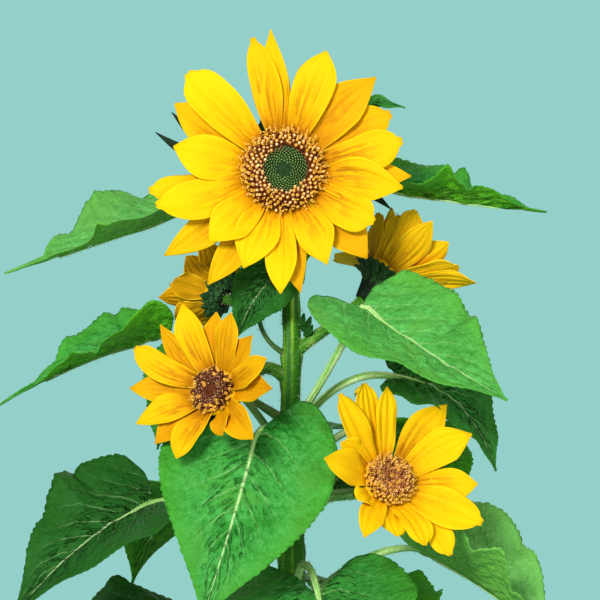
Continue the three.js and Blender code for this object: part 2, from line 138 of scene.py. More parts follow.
# How finely the shapes are cut, as columns or sides and rows or steps
LEAF_COLUMNS = 32
LEAF_ROWS = 90
RAY_CUT = (24, 22)
BRACT_CUT = (6, 12)
STALK_CUT = (10, 30)
STEM_CUT = (48, 260)
BRANCH_CUT = (20, 60)
SPIN_STEPS = 48
SEAM = 1e-4

# The stem's middle line, from the cut to where its neck turns forward into the large head
STEM_LINE = [
    (0, 0, 0), (0, 0, 12), (0, 0, 40), (0, 0, 110), (0, 1, 190), (1, 1, 270), (-1, 2, 340),
    (1, 3, 405), (0, 8, 452), (-2, 12, 482), (-4, 5, 505),
]

# The painted shade that deepens the green of most leaves; under 0 it is painted light that pales
# one
COMMON_SHADE = 0.35
# The leaves that show from the front: where the stalk joins the stem, the stalk's bend, the
# blade's base, bend and tip, the way its upper face looks, its width, how far its left and right
# halves are folded up, in degrees, and the painted shade that deepens its green, which under 0 is
# painted light that pales it
SHOWING_LEAVES = {
    "leaf_top_left": (462, (-30, 22, 490), (-66, 18, 490), (-112, 10, 474), (-171, -4, 454),
                      (0, 0, 1), 80, 12, 40, -0.22),
    "leaf_top_right": (470, (26, 26, 500), (50, 20, 506), (104, 10, 497), (154, 0, 491),
                       (0, 0, 1), 64, 38, 30, 0.15),
    "leaf_top_small": (484, (6, 36, 528), (16, 40, 540), (44, 42, 564), (70, 40, 555),
                       (-0.1, -0.3, 0.95), 42, 8, 8, COMMON_SHADE),
    "leaf_left_middle": (364, (-40, 18, 388), (-77, 6, 416), (-124, 0, 406), (-174, -14, 375),
                         (0, 0, 1), 70, 14, 36, 0.05),
    "leaf_right_high": (358, (22, -20, 392), (43, -36, 434), (84, -78, 405), (126, -104, 380),
                        (0.1, -0.65, 0.75), 86, 10, 14, -0.1),
    "leaf_right_middle": (352, (28, 0, 400), (64, 0, 392), (106, -4, 390), (123, -18, 336),
                          (0.35, -0.6, 0.7), 66, 12, 14, 0.6),
    "leaf_front_large": (340, (-8, -30, 372), (-20, -46, 358), (-30, -84, 318), (-52, -78, 249),
                         (0, -0.92, 0.38), 104, 6, 4, 0.12),
    "leaf_left_low": (252, (-40, -4, 328), (-82, -12, 317), (-120, -36, 305), (-165, -44, 250),
                      (-0.35, -0.75, 0.55), 98, 26, 8, 0.85),
    "leaf_left_foot": (216, (-24, 4, 262), (-82, 10, 246), (-118, 8, 262), (-144, 4, 202),
                       (-0.2, -0.3, 0.93), 80, 4, 8, 0.6),
    "leaf_front_low": (240, (6, -24, 308), (17, -42, 263), (20, -88, 238), (24, -120, 182),
                       (0, -0.5, 0.86), 118, 20, 8, COMMON_SHADE),
    "leaf_right_low": (246, (40, -2, 292), (76, -6, 289), (122, -22, 268), (158, -34, 232),
                       (0.3, -0.6, 0.74), 100, 18, 65, -0.35),
    "leaf_under_head": (402, (-34, -6, 422), (-6, -8, 456), (-24, -20, 440), (-32, -17, 415),
                        (0, -0.95, 0.3), 36, 4, 4, 0.75),
    "leaf_behind_left": (340, (-30, 6, 392), (-56, -8, 400), (-72, -20, 386), (-79, -22, 349),
                         (-0.1, -0.85, 0.5), 46, 6, 8, 0.55),
    "leaf_behind_right": (286, (12, 16, 318), (30, 24, 330), (68, 30, 350), (104, 24, 341),
                          (0.1, -0.35, 0.93), 52, 6, 6, 0.5),
}

# Leaves with a taper of their own and a thin tail after their body, which ends at that share of
# the length; and leaves whose left and right lobes reach less or further back
LEAF_ENDS = {
    "leaf_top_left": (0.7, 0.8),
    "leaf_top_right": (1, 0.92),
    "leaf_left_middle": (0.9, 0.8),
}
LEAF_LOBES = {
    "leaf_left_middle": (0.3, 0.1),
    "leaf_right_high": (0.3, 0.75),
    "leaf_right_middle": (0.4, 0.4),
    "leaf_front_large": (1.05, 0.55),
    "leaf_left_low": (0.4, 0.3),
}
# Where a half is turned up or down: side, share along, how far it runs, and lift at the margin
LEAF_TURNS = {
    "leaf_top_left": [(1, 0.17, 0.05, -7), (1, 0.6, 0.06, -4), (1, 0.43, 0.02, -3),
                      (-1, 0.52, 0.03, 5)],
    "leaf_top_right": [(1, 0.1, 0.16, -14), (1, 0.31, 0.07, -8), (1, 0.44, 0.04, 7),
                       (1, 0.56, 0.02, -3), (-1, 0.4, 0.04, -6), (-1, 0.6, 0.12, -8)],
    "leaf_left_middle": [(-1, 0.07, 0.12, 19), (-1, 0.56, 0.03, 3), (-1, 0.44, 0.02, -3),
                         (1, 0.2, 0.03, -5), (1, 0.6, 0.09, -7)],
    "leaf_right_high": [(-1, 0.5, 0.05, 4), (-1, 0.62, 0.04, -4)],
    "leaf_left_low": [(1, 0.5, 0.06, -6), (1, 0.36, 0.03, 4), (1, 0.25, 0.03, -6)],
    "leaf_right_low": [(1, 0.5, 0.06, 9), (1, 0.36, 0.03, -6), (1, 0.64, 0.03, -5),
                       (-1, 0.45, 0.05, -4)],
}

# The leaves behind the stem and below the view: the way each points, in degrees from +X towards
# +Y, the height where its stalk joins the stem, and how far out its tip comes
ARCHED_LEAVES = {
    "leaf_back_top": (88, 474, 132),
    "leaf_back_right": (46, 320, 150),
    "leaf_back_left": (131, 286, 150),
    "leaf_back_middle": (61, 226, 152),
    "leaf_foot_right": (-27, 172, 164),
    "leaf_foot_back_left": (138, 190, 166),
    "leaf_foot_back_right": (54, 146, 166),
    "leaf_foot_left": (198, 124, 157),
    "leaf_foot_front": (-75, 102, 148),
}
# Their common rule: the stalk's bend and the blade's base, bend and tip, each at a share of the
# reach and above the joint; the way the face looks; the width, in reaches, and the fold
ARCH_BENDS = [(0.26, 46), (0.45, 38), (0.83, 36), (1, -24)]
ARCH_FACE = (0.33, 0.93)
ARCH_WIDE = 0.61
ARCH_FOLD = 8

# Each head: the middle of its disc, where it looks, the radius of its disc and the depth of its
# cup; on a branch, where that joins the stem, its bend and the painted shade that darkens it; how
# golden the rays are, partly their own gold and partly painted shade, which under 0 is painted
# light that pales them, and the share of them with blunt tips; the number of florets, the share
# of the radius where the open ones start, how much later one head's start on its right, the size
# of a floret's tip, how far the florets spread, and the share of them that are tan. The rays are
# rows of turn, reach, width and rise of the tip, and the long bracts of turn and reach.
HEADS = {
    "main": {
        "centre": (-4, -34, 515), "facing": (0, -0.985, 0.17), "radius": 26, "depth": 16,
        "gold_and_painted_shade": -0.05, "blunt": 0.2,
        "florets": 360, "open": 0.55, "later": 0.05, "tip": 1.6, "spread": 0.91, "tan": 0.4,
        "rays": [
            (135, 81, 26, 9), (103, 82, 18, 4), (70, 75, 25, 8), (95, 84, 19, 6), (13, 73, 24, 9),
            (45, 78, 27, 5), (-10, 72, 27, 8), (28, 73, 24, 1), (-32, 64, 23, 10), (-3, 76, 22, 3),
            (-66, 64, 23, 9), (-47, 73, 25, 3), (-91, 76, 19, 8), (-82, 75, 19, 3),
            (-111, 65, 27, 10), (-123, 82, 20, 0), (-134, 63, 26, 10), (-144, 87, 21, -2),
            (-163, 79, 25, 8), (-171, 81, 20, 2), (169, 66, 27, 9), (148, 76, 23, 1),
        ],
        "long_bracts": [(162, 80), (151, 76), (-19, 68)],
    },
    "left": {
        "centre": (-46, -60, 385), "facing": (-0.5, -0.82, 0.28), "radius": 14.5, "depth": 12,
        "joins": 388, "via": (-24, 10, 414), "dark": 0.45, "gold_and_painted_shade": 0.4, "blunt": 0.2,
        "florets": 200, "open": 0.26, "tip": 0.75, "spread": 0.84, "tan": 0.1,
        "rays": [
            (156, 56, 16, 12), (135, 53, 17, 8), (114, 54, 18, 13), (92, 46, 17, 7),
            (72, 46, 17, 13), (48, 42, 15, 8), (21, 45, 16, 13), (-1, 47, 18, 8),
            (-38, 52, 18, 12), (-60, 34, 14, 8), (-101, 46, 18, 12), (-128, 45, 17, 8),
            (-150, 48, 18, 12), (-178, 52, 18, 8),
        ],
    },
    "right": {
        "centre": (59, -54, 332), "facing": (0.36, -0.85, 0.38), "radius": 16, "depth": 13,
        "joins": 304, "via": (20, 8, 330), "dark": 0.1, "gold_and_painted_shade": -0.5, "blunt": 0.3,
        "florets": 240, "open": 0, "tip": 1, "spread": 0.87, "tan": 0.45,
        "rays": [
            (120, 58, 16, 13), (101, 59, 16, 9), (88, 54, 14, 13), (47, 60, 22, 9),
            (24, 56, 22, 14), (-8, 52, 24, 9), (-34, 59, 26, 13), (-62, 58, 17, 9),
            (-78, 47, 18, 13), (-98, 39, 17, 9), (-125, 48, 17, 12), (-152, 30, 14, 8),
            (168, 46, 22, 13), (146, 38, 15, 8),
        ],
    },
    "high": {
        "centre": (60, 22, 455), "facing": (0.65, 0.4, 0.65), "radius": 15, "depth": 26,
        "joins": 404, "via": (12, 4, 416), "dark": 0.25, "gold_and_painted_shade": 0, "blunt": 0.7,
        "florets": 150, "open": 0.3, "tip": 1, "spread": 0.9, "tan": 0.3,
        "rays": [
            (8, 57, 18, 2), (32, 36, 18, 16), (58, 33, 17, 22), (80, 31, 18, 20),
            (100, 31, 17, 24), (120, 32, 18, 20), (137, 42, 17, 24), (154, 51, 18, 20),
            (175, 43, 17, 22), (-166, 46, 20, 18), (-150, 52, 17, 22), (-117, 47, 18, 15),
            (-86, 46, 18, 17), (-60, 46, 18, 14), (-36, 48, 18, 12), (-13, 50, 18, 10),
        ],
    },
    "low": {
        "centre": (-47, 2, 443), "facing": (-0.7, 0.62, 0.35), "radius": 12, "depth": 12,
        "joins": 448, "via": (-14, 16, 460), "dark": 0.6, "gold_and_painted_shade": 0.9, "blunt": 0.6,
        "florets": 110, "open": 0.3, "tip": 1, "spread": 0.9, "tan": 0.3,
        "rays": [
            (42, 29, 17, 9), (10, 30, 17, 6), (-12, 35, 16, 9), (-42, 28, 16, 6), (-78, 27, 17, 9),
            (-114, 28, 16, 6), (-148, 32, 17, 9), (-178, 33, 17, 6), (148, 32, 17, 9),
            (112, 30, 16, 6), (76, 29, 17, 9),
        ],
    },
}
SIDE_HEADS = {name: head for name, head in HEADS.items() if "joins" in head}


# Lines in space

def quadratic(start, pull, end):
    """A line from start to end, drawn towards pull."""
    return lambda t: start * (1 - t) ** 2 + pull * (2 * t * (1 - t)) + end * t ** 2


def cubic(start, leaving, arriving, end):
    """A line from start to end, drawn towards two pulls in turn."""
    def at(t):
        rest = 1 - t
        return (start * rest ** 3 + leaving * (3 * t * rest ** 2)
                + arriving * (3 * t ** 2 * rest) + end * t ** 3)
    return at


def through(points):
    """A smooth line through points, which allows for the uneven room between them."""
    row = [points[0] * 2 - points[1], *points, points[-1] * 2 - points[-2]]

    def at(share):
        place = share * (len(points) - 1)
        first = min(int(place), len(points) - 2)
        t = place - first
        p0, p1, p2, p3 = row[first:first + 4]
        d0, d1, d2 = ((b - a).length ** 0.5 for a, b in ((p0, p1), (p1, p2), (p2, p3)))
        leaving = ((p1 - p0) / d0 - (p2 - p0) / (d0 + d1) + (p2 - p1) / d1) * d1
        arriving = ((p2 - p1) / d1 - (p3 - p1) / (d1 + d2) + (p3 - p2) / d2) * d1
        return (p1 * (2 * t ** 3 - 3 * t ** 2 + 1) + p2 * (3 * t ** 2 - 2 * t ** 3)
                + leaving * (t ** 3 - 2 * t ** 2 + t) + arriving * (t ** 3 - t ** 2))
    return at


def heading(line, share):
    """The direction of a line at a share of it."""
    step = 0.004
    return (line(min(1, share + step)) - line(max(0, share - step))).normalized()


def carried(line, steps):
    """Rings along a line, each a point with two directions square to the line, untwisted."""
    along = heading(line, 0)
    side = (Vector((1, 0, 0)) - along * along.x).normalized()
    rings = []
    for step in range(steps + 1):
        share = step / steps
        ahead = heading(line, share)
        side = along.rotation_difference(ahead) @ side
        along = ahead
        rings.append((line(share), side.copy(), along.cross(side)))
    return rings


def around(turn, radius=1, height=0):
    """The point at a turn and a distance round the upright axis."""
    return Vector((radius * cos(turn), radius * sin(turn), height))


def mix(low, high, share):
    return low + (high - low) * share


def bump_at(distance, width):
    """1 at no distance, falling away smoothly over width."""
    return exp(-(distance / width) ** 2)


# Pieces

def new_shape():
    shape = bmesh.new()
    shape.loops.layers.uv.new("UVMap")
    shape.verts.layers.float.new("shade")
    return shape


def shaded(shape, shade):
    """Marks a whole shape with its painted shade: 1 deepens its colour most, and under 0 is
    painted light.
    """
    layer = shape.verts.layers.float["shade"]
    for vert in shape.verts:
        vert[layer] = shade
    return shape


def mesh_of(shape, name):
    """The mesh of a finished shape."""
    mesh = bpy.data.meshes.new(name)
    shape.to_mesh(mesh)
    shape.free()
    return mesh


def absorb(whole, part):
    """Adds a finished shape to a larger one."""
    mesh = mesh_of(part, "part")
    whole.from_mesh(mesh)
    bpy.data.meshes.remove(mesh)


def new_object(name, data):
    made = bpy.data.objects.new(name, data)
    bpy.context.scene.collection.objects.link(made)
    return made


def add_piece(name, shape, materials, slot, *nodes):
    """Finishes a shape as a piece of the plant that stands for the given nodes."""
    bmesh.ops.scale(shape, vec=(MM, MM, MM), verts=shape.verts)
    mesh = mesh_of(shape, name)
    for material in materials:
        mesh.materials.append(material)
    mesh.shade_smooth()
    piece = new_object(name, mesh)
    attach(piece, "root")
    if nodes:
        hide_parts(*nodes)


def add_stamped(name, form, places, material, slot):
    """Adds a piece made of a copy of a small template at each place."""
    whole = bmesh.new()
    template = TEMPLATES[form]
    for place in places:
        template.transform(place)
        whole.from_mesh(template)
        template.transform(place.inverted())
    add_piece(name, whole, [material], slot)


def along_place(point, direction, length, thick):
    """Where a template that stands on the origin along +Z goes: its foot, direction and size."""
    turn = direction.to_track_quat("Z", "Y").to_matrix().to_4x4()
    return Matrix.Translation(point) @ turn @ Matrix.Diagonal((thick, thick, length, 1))


def rolled(line, radius_at, cut, relief=lambda point, turn: 0):
    """A tube along a line: a flat grid rolled up, its seam joined and its ends closed."""
    sides, steps = cut
    shape = new_shape()
    bmesh.ops.create_grid(shape, x_segments=sides, y_segments=steps, size=0.5, calc_uvs=True)
    rings = carried(line, steps)
    for vert in shape.verts:
        step = round((vert.co.y + 0.5) * steps)
        point, side, front = rings[step]
        turn = (vert.co.x + 0.5) * tau
        radius = radius_at(step / steps) + relief(point, turn % tau)
        vert.co = point + side * (radius * cos(turn)) + front * (radius * sin(turn))
    bmesh.ops.remove_doubles(shape, verts=shape.verts, dist=SEAM)
    bmesh.ops.holes_fill(shape, edges=[edge for edge in shape.edges if edge.is_boundary], sides=0)
    bmesh.ops.recalc_face_normals(shape, faces=shape.faces)
    return shape


def spun(profile):
    """A shape turned about its own axis from rows of radius and height."""
    shape = new_shape()
    points = [shape.verts.new((radius, 0, height)) for radius, height in profile]
    edges = [shape.edges.new(pair) for pair in zip(points, points[1:])]
    bmesh.ops.spin(shape, geom=points + edges, axis=UP, cent=(0, 0, 0), angle=tau,
                   steps=SPIN_STEPS, use_merge=True)
    bmesh.ops.remove_doubles(shape, verts=shape.verts, dist=SEAM)
    bmesh.ops.recalc_face_normals(shape, faces=shape.faces)
    return shape


def blade(line, face, cut, place_at, thick):
    """A thin blade along a line. place_at gives, for a share along and across, how far the
    point lies back, out to the side, and up from the line."""
    columns, rows = cut
    shape = new_shape()
    bmesh.ops.create_grid(shape, x_segments=columns, y_segments=rows, size=1, calc_uvs=True)
    for vert in shape.verts:
        share = round((vert.co.y + 1) / 2 * rows) / rows
        ahead = heading(line, share)
        across = ahead.cross(face).normalized()
        above = across.cross(ahead)
        back, out, lift = place_at(share, vert.co.x)
        vert.co = line(share) - ahead * back + across * out + above * lift
    shape.normal_update()
    under = bmesh.ops.solidify(shape, geom=shape.faces[:], thickness=thick)
    for part in under["geom"]:
        if isinstance(part, bmesh.types.BMFace):
            part.material_index = 1
    return shape


def cone(segments, foot, top, tall=1):
    """A small upright cone that stands on the origin."""
    shape = bmesh.new()
    bmesh.ops.create_cone(shape, cap_ends=True, segments=segments, radius1=foot, radius2=top,
                          depth=tall)
    bmesh.ops.translate(shape, vec=(0, 0, tall / 2), verts=shape.verts)
    return shape


def small_templates():
    """A hair; a tube with an open mouth, a round stigma and a forked one; a bud and its scale."""
    tube = cone(6, 0.5, 0.8)
    mouth = [face for face in tube.faces if face.normal.z > 0.9]
    bmesh.ops.inset_region(tube, faces=mouth, thickness=0.25, depth=-0.1)
    knob = bmesh.new()
    bmesh.ops.create_icosphere(knob, subdivisions=1, radius=0.5)
    fork = bmesh.new()
    for lean in (-32, 32):
        arm = cone(4, 0.22, 0.3, 1.6)
        bmesh.ops.rotate(arm, cent=(0, 0, 0), matrix=Matrix.Rotation(radians(lean), 3, "Y"),
                         verts=arm.verts)
        absorb(fork, arm)
    scale = cone(4, 0.5, 0.3)
    bmesh.ops.scale(scale, vec=(0.3, 1.5, 1), verts=scale.verts)
    shapes = {"hair": cone(3, 0.15, 0.04), "tube": tube, "knob": knob, "fork": fork,
              "bud": cone(5, 0.5, 0.08), "scale": scale}
    return {name: mesh_of(shape, name) for name, shape in shapes.items()}


TEMPLATES = small_templates()


# The plant's lines

def neck_of(head, back):
    facing = Vector(head["facing"]).normalized()
    return Vector(head["centre"]) - facing * (head["depth"] + back)


STEM = through([
    *map(Vector, STEM_LINE), neck_of(HEADS["main"], NECK_RUN), neck_of(HEADS["main"], CLEARANCE),
])
STEM_SAMPLES = 800
STEM_POINTS = [STEM(i / STEM_SAMPLES) for i in range(STEM_SAMPLES + 1)]


def stem_radius(share):
    z = STEM(share).z
    for (low, low_radius), (high, high_radius) in zip(STEM_RADII, STEM_RADII[1:]):
        if z <= high:
            break
    taper = mix(low_radius, high_radius, (z - low) / (high - low))
    return taper + FLARE_WIDTH * exp(-z / FLARE_HEIGHT)


def stem_point_at(height):
    return next(point for point in STEM_POINTS if point.z >= height)


def arched_leaf(turn, joins, reach):
    """The row of a leaf that arches out by the common rule."""
    angle = radians(turn)
    bends = [around(angle, share * reach, joins + rise) for share, rise in ARCH_BENDS]
    face = around(angle, *ARCH_FACE)
    return (joins, *bends, face, ARCH_WIDE * reach, ARCH_FOLD, ARCH_FOLD, COMMON_SHADE)


LEAVES = SHOWING_LEAVES | {name: arched_leaf(*row) for name, row in ARCHED_LEAVES.items()}


# Colour and nodes

def srgb(code):
    """The linear colour of a hex code."""
    channels = [int(code[i:i + 2], 16) / 255 for i in (1, 3, 5)]
    return (*[c / 12.92 if c <= 0.04045 else ((c + 0.055) / 1.055) ** 2.4 for c in channels], 1)


def node_adder(tree):
    """Clears a node tree, and gives the one function that adds nodes to it."""
    tree.nodes.clear()

    def add(kind, *values, named=None, stops=None, **settings):
        """Adds a node with its settings. The values, colours or sources of its sockets come in
        the order of those it uses, or under their names, and a ramp has its stops."""
        node = tree.nodes.new("ShaderNode" + kind)
        for name, value in settings.items():
            setattr(node, name, value)
        given = list(zip([socket for socket in node.inputs if socket.enabled], values))
        given += [(node.inputs[name], value) for name, value in (named or {}).items()]
        for socket, value in given:
            if isinstance(value, bpy.types.Node):
                value = next(output for output in value.outputs if output.enabled)
            if isinstance(value, bpy.types.NodeSocket):
                tree.links.new(value, socket)
            else:
                socket.default_value = srgb(value) if isinstance(value, str) else value
        if stops:
            first, *inner, last = stops
            ends = node.color_ramp.elements
            ends[0].position, ends[0].color = first[0], srgb(first[1])
            ends[-1].position, ends[-1].color = last[0], srgb(last[1])
            for position, code in inner:
                ends.new(position).color = srgb(code)
        return node
    return add


def new_material(name):
    made = bpy.data.materials.new(name)
    made.use_nodes = True
    return made, node_adder(made.node_tree)


def finish(add, colour, height, strength, depth, roughness, gloss, ior=1.45):
    """The end of each material of the plant: a relief of a depth in millimetres, and the shine."""
    bump = add("Bump", named={"Strength": strength, "Distance": depth * MM, "Height": height})
    shader = add("BsdfPrincipled", named={
        "Base Color": colour, "Roughness": roughness, "IOR": ior, "Specular IOR Level": gloss,
        "Normal": bump})
    add("OutputMaterial", shader)


# Settings that many nodes share: a smooth range, a product, and a product with something added
SMOOTH = {"interpolation_type": "SMOOTHSTEP"}
TIMES = {"operation": "MULTIPLY"}
TIMES_PLUS = {"operation": "MULTIPLY_ADD"}


def read_blade(add):
    """A blade's Object coordinates, its shade, the shares across and along it, and how far a
    point lies from its middle line, with the side's sign and without."""
    coords = add("TexCoord")
    shade = add("Attribute", attribute_name="shade").outputs["Fac"]
    uv = add("SeparateXYZ", coords.outputs["UV"]).outputs
    signed = add("Math", uv[0], 2, -1, **TIMES_PLUS)
    across = add("Math", signed, operation="ABSOLUTE")
    return coords.outputs["Object"], shade, uv[0], uv[1], signed, across


def leaf_tissue(name, deep, lit, rim, vein, vein_share):
    """Leaf tissue under a thin wax: a soft sheen over a puckered green with thin pale veins, and
    dents beside its midrib painted dark as shade. The leaf's shade value deepens its whole green
    with painted shade, and one under 0 pales it with painted light."""
    made, add = new_material(name)
    place, shade, _, from_base, signed, across = read_blade(add)
    bent = add("Math", across, VEIN_BEND, operation="POWER")
    along = add("Math", bent, -VEIN_RISE, from_base, **TIMES_PLUS)
    # Patches about 30 mm across, puckers of about 4 mm between the small veins, and a fine grain
    patches, puckers, grain = (
        add("TexNoise", place, 1 / (size * MM), 2) for size in (30, 4, 1.2))
    # The side veins of one half leave the midrib between those of the other, and wander a little
    half = add("Math", signed, 0, operation="GREATER_THAN")
    offset = add("Math", half, 0.5, **TIMES)
    offset = add("Math", puckers, 0.2, offset, **TIMES_PLUS)
    rows = add("Math", along, VEINS, offset, **TIMES_PLUS)
    from_vein = add("Math", rows, 0.5, operation="PINGPONG")
    side_vein = add("MapRange", from_vein, 0.01, 0.035, 0.4, 0, **SMOOTH)
    fade = add("MapRange", across, 0.1, 0.8, 1, 0)
    side_vein = add("Math", side_vein, fade, **TIMES)
    midrib = add("MapRange", across, 0.008, 0.024, 1, 0, **SMOOTH)
    veins = add("Math", side_vein, midrib, operation="MAXIMUM")
    # Soft dents of about 6 mm by 3 mm lie between the side veins, deeper in leaves with more
    # painted shade
    stretched = add("CombineXYZ", *(
        add("Math", source, times, **TIMES)
        for source, times in ((signed, 8), (along, 34), (patches, 4))))
    dents = add("TexNoise", stretched, 1, 1)
    dented = add("MapRange", dents, 0.5, 0.72, 0, 1, **SMOOTH)
    near_midrib = add("MapRange", across, 0.16, 0.66, 1, 0, **SMOOTH)
    dent_share_from_shade = add("Math", shade, 2.5, 0.3, **TIMES_PLUS, use_clamp=True)
    for share in (near_midrib, dent_share_from_shade):
        dented = add("Math", dented, share, **TIMES)
    # The green is lighter where the puckers and grain rise and darker in their hollows, painted
    # light and shade, and it also varies in patches of its own
    lightness = add("Math", puckers, 0.7, patches, **TIMES_PLUS)
    lightness = add("Math", grain, 0.5, lightness, **TIMES_PLUS)
    lightness = add("Math", lightness, 2.2, operation="DIVIDE")
    colour = add("ValToRGB", lightness, stops=[(0.4, deep), (0.6, lit)])
    towards_rim = add("MapRange", across, 0.5, 1, 0, 0.6, **SMOOTH)
    olive = add("MapRange", patches, 0.5, 0.66, 0, 0.6, **SMOOTH)
    # Painted light pales a leaf whose shade is under 0, painted shade deepens the whole green by
    # the shade, and the dents' hollows are painted dark as shade
    painted_light_share = add("Math", shade, -1, **TIMES, use_clamp=True)
    lines = add("Math", veins, vein_share, **TIMES)
    painted_dent_shade = add("Math", dented, 0.6, **TIMES)
    for share, over in ((towards_rim, rim), (olive, LEAF_OLIVE), (shade, PAINTED_SHADE_GREEN),
                        (painted_light_share, PAINTED_LIGHT_GREEN), (lines, vein), (painted_dent_shade, PAINTED_SHADE_GREEN)):
        colour = add("Mix", share, colour, over, data_type="RGBA")
    height = add("Math", grain, 0.3, puckers, **TIMES_PLUS)
    height = add("Math", dented, -1.5, height, **TIMES_PLUS)
    finish(add, colour, height, strength=1, depth=2.1, roughness=0.68, gloss=0.22)
    return made


def petal_tissue(name, root, low, middle, tip, edge):
    """A ray floret: thin matt tissue, finely ribbed along, orange at its root, with its creases
    and furrows darkened orange as painted shade; painted shade also deepens shaded rays towards
    gold.
    """
    made, add = new_material(name)
    place, shade, from_left, from_root, _, across = read_blade(add)
    patches = add("TexNoise", place, 1 / (9 * MM), 2)
    wander = add("Math", patches, 0.2, from_root, **TIMES_PLUS)
    # Painted shade lets the deeper orange of the root reach further out on a shaded ray
    wander = add("Math", shade, -0.26, wander, **TIMES_PLUS)
    colour = add("ValToRGB", wander, stops=[(0.04, root), (0.17, low), (0.36, middle), (1, tip)])
    # About fourteen fine ribs lie side by side across each ray
    ribs = add("Math", from_left, 14, **TIMES)
    rib = add("Math", ribs, 0.5, operation="PINGPONG")
    furrow = add("MapRange", rib, 0, 0.3, 0.1, 0)
    # Uneven creases run out from the root, eight times finer across than along. They and the rib
    # furrows are darkened towards the root colour as painted shade, deeper on shaded rays
    narrow = add("Math", from_left, 8, **TIMES)
    changing = add("Math", patches, 2, **TIMES)
    creases = add("TexNoise", add("CombineXYZ", narrow, from_root, changing), 1, 2)
    crease = add("MapRange", creases, 0.5, 0.66, 0, 1, **SMOOTH)
    fading = add("MapRange", wander, 0.1, 0.9, 1, 0, **SMOOTH)
    crease = add("Math", crease, fading, **TIMES)
    depth = add("Math", shade, 0.9, 0.45, **TIMES_PLUS)
    creased = add("Math", crease, depth, **TIMES)
    painted_groove_shade = add("Math", creased, furrow, operation="MAXIMUM")
    # Painted shade turns a shaded ray more golden
    gold_and_shade_share = add("Math", shade, shade, **TIMES)
    rim = add("MapRange", across, 0.86, 1, 0, 0.6)
    for share, over in ((painted_groove_shade, root), (gold_and_shade_share, low), (rim, edge)):
        colour = add("Mix", share, colour, over, data_type="RGBA")
    height = add("Math", crease, -1, rib, **TIMES_PLUS)
    finish(add, colour, height, strength=0.6, depth=0.5, roughness=0.7, gloss=0.12, ior=1.4)
    return made


def stem_skin(name, deep, lit, streak):
    """Stem skin: a firm ribbed green with darker and paler streaks along it."""
    made, add = new_material(name)
    coords = add("TexCoord").outputs
    shade = add("Attribute", attribute_name="shade").outputs["Fac"]
    # Streaks run along the limb: eleven across its girth, many times longer than wide
    stretched = add("Mapping", coords["UV"], named={"Scale": (11, 5, 1)})
    streaks = add("TexNoise", stretched, 1, 3)
    grain = add("TexNoise", coords["Object"], 1 / (1.2 * MM), 2)
    tone = add("Math", grain, 0.35, streaks, **TIMES_PLUS)
    greens = add("ValToRGB", tone, stops=[(0.5, deep), (0.7, lit), (0.86, streak)])
    # Painted shade deepens the green of branches and stalks by their shade value
    colour = add("Mix", shade, greens, PAINTED_SHADE_GREEN, data_type="RGBA")
    finish(add, colour, tone, strength=0.4, depth=0.4, roughness=0.5, gloss=0.25)
    return made


def small_tissue(name, deep, lit, grain_size, roughness):
    """Small parts: a grain between two near colours, dull on dry or downy ones and with a faint
    shine on smooth ones."""
    made, add = new_material(name)
    grain = add("TexNoise", add("TexCoord").outputs["Object"], 1 / (grain_size * MM), 2)
    tone = add("ValToRGB", grain, stops=[(0.35, deep), (0.65, lit)])
    finish(add, tone, grain, strength=0.3, depth=0.2, roughness=roughness, gloss=0.25)
    return made


# The green of painted shade on leaves, branches and stalks; the olive of the leaves' own patches;
# and the pale green of painted light
PAINTED_SHADE_GREEN = "#0c4404"
LEAF_OLIVE = "#3f8a18"
PAINTED_LIGHT_GREEN = "#94d072"
LEAF_UPPER = leaf_tissue("waxy_leaf_upper_side", "#23801f", "#4fb04e", "#46a022", "#c8e6a0", 0.65)
# The underside is paler and yellower than the top, and is painted brighter still with painted
# light, for the light that shines through the thin leaf
LEAF_UNDER = leaf_tissue("leaf_underside", "#3a940c", "#68be22", "#5cb01c", "#b0dc7c", 0.5)
PETAL_FRONT = petal_tissue("ray_floret_front", "#a05c04", "#d69402", "#f0b602", "#fac802",
                           "#fcd210")
PETAL_BACK = petal_tissue("ray_floret_back", "#a87408", "#d29806", "#f4b80a", "#fcca10", "#ffe030")
STEM_SKIN = stem_skin("ribbed_stem_skin", "#1c5e04", "#3a7c0c", "#84b430")
STALK_SKIN = stem_skin("pale_stalk_skin", "#6cac48", "#a8d478", "#dcf0b4")
BRANCH_SKIN = stem_skin("green_branch_skin", "#2c7a0c", "#5a9e22", "#98c850")
# The cup is painted nearly black, its own dark green deepened with painted shade, which fills it
# between and under its bracts; their downy edges are a dull green. The hairs are pale and a little
# glassy, so that they catch the light.
CUP_SKIN = small_tissue("downy_dark_involucre", "#07190a", "#122f15", 1.5, 0.75)
BRACT_EDGE = small_tissue("downy_green_bract", "#12301a", "#34602c", 1.5, 0.7)
HAIR = small_tissue("glassy_plant_hair", "#a8c880", "#d8e8b4", 1, 0.4)
# The disc's bed shows only as dark gaps between the florets. Their tubes are dry and dull, and
# their stigmas mealy with pollen, which makes them the palest part of the disc.
DISC_BROWN = small_tissue("dark_disc_bed", "#42160a", "#70380e", 1, 0.9)
DISC_GREEN = small_tissue("green_disc_bed", "#12280e", "#1f3e16", 1, 0.85)
TUBE_BROWN = small_tissue("brown_floret_tube", "#7a4010", "#ac6a24", 1.5, 0.75)
TUBE_DARK = small_tissue("maroon_floret_tube", "#3a180a", "#6c3812", 1, 0.6)
TUBE_TAN = small_tissue("tan_floret_tube", "#c08420", "#f0b840", 1.5, 0.7)
STIGMA = small_tissue("mealy_cream_stigma", "#e4a868", "#ffdea6", 2, 0.6)
STIGMA_GOLD = small_tissue("mealy_gold_stigma", "#d89a1c", "#fccc58", 2, 0.6)
STIGMA_PINK = small_tissue("mealy_pink_stigma", "#a8664a", "#dca07c", 2, 0.6)
# Shut buds have a smooth tight skin, so they shine a little and look darker than the tubes
PURPLE_BUD = small_tissue("purple_black_bud", "#0c060c", "#2a141c", 1, 0.5)
